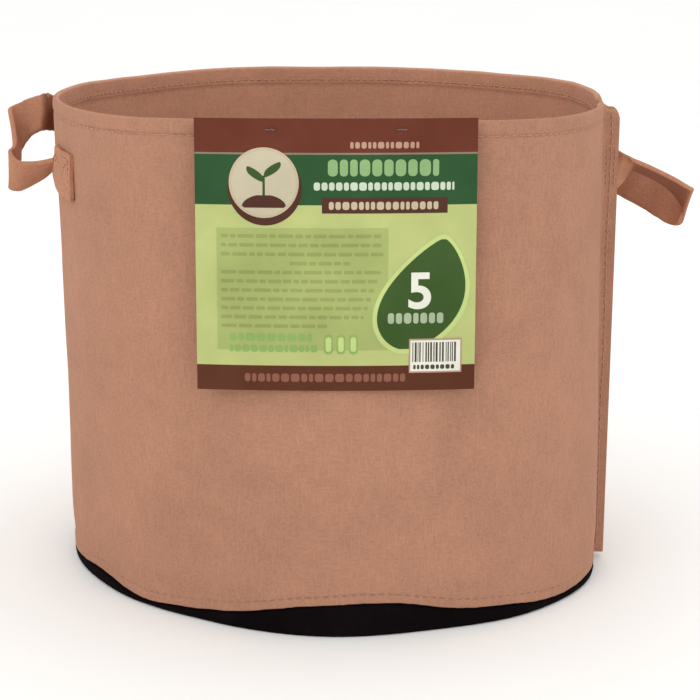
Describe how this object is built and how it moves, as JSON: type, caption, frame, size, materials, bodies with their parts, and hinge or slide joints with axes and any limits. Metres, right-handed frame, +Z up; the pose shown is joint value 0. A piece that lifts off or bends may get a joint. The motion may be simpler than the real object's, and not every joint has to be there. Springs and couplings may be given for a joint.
{
  "type": "fabric grow bag",
  "caption": "Round fabric plant pot of tan felt with a black base, hemmed rim, outward side seam, strap handles that swing and a hang card that lifts at its crease.",
  "frame": {"origin": "on the ground at the centre of the base's underside", "axes": "+Z up; the label card faces -Y, the handles are at +X and -X, and the side seam stands out near +X"},
  "size_m": [0.3955, 0.3031, 0.266],
  "materials": {
    "tan_felt": "matte",
    "strap_felt": "matte",
    "black_felt": "matte",
    "tan_thread": "matte",
    "dark_thread": "matte",
    "printed_card": "satin",
    "clear_plastic": "gloss"
  },
  "bodies": {
    "bag": {"wall_panel": "tan_felt", "base_panel": "black_felt", "rim_hem_stitching": "tan_thread", "base_seam_stitching": "dark_thread", "side_seam_stitching": "tan_thread", "left_handle_front_tab": "strap_felt", "left_handle_rear_tab": "strap_felt", "right_handle_front_tab": "strap_felt", "right_handle_rear_tab": "strap_felt", "left_handle_front_stitching": "tan_thread", "left_handle_rear_stitching": "tan_thread", "right_handle_front_stitching": "tan_thread", "right_handle_rear_stitching": "tan_thread", "label_header_strip": "printed_card", "label_tag_pins": "clear_plastic"},
    "left_handle": {"left_handle_loop": "strap_felt"},
    "right_handle": {"right_handle_loop": "strap_felt"},
    "label": {"label_card": "printed_card"}
  },
  "joints": [
    {"name": "left_handle_swing", "type": "hinge", "parent": "bag", "child": "left_handle", "pos_m": [-0.1625, 0, 0.226], "axis": [0, 1, 0], "range_deg": [-55, 45]},
    {"name": "right_handle_swing", "type": "hinge", "parent": "bag", "child": "right_handle", "pos_m": [0.1625, 0, 0.223], "axis": [0, -1, 0], "range_deg": [-50, 100]},
    {"name": "label_lift", "type": "hinge", "parent": "bag", "child": "label", "pos_m": [0, -0.1387, 0.25085], "axis": [-1, 0, 0], "range_deg": [0, 110]}
  ]
}
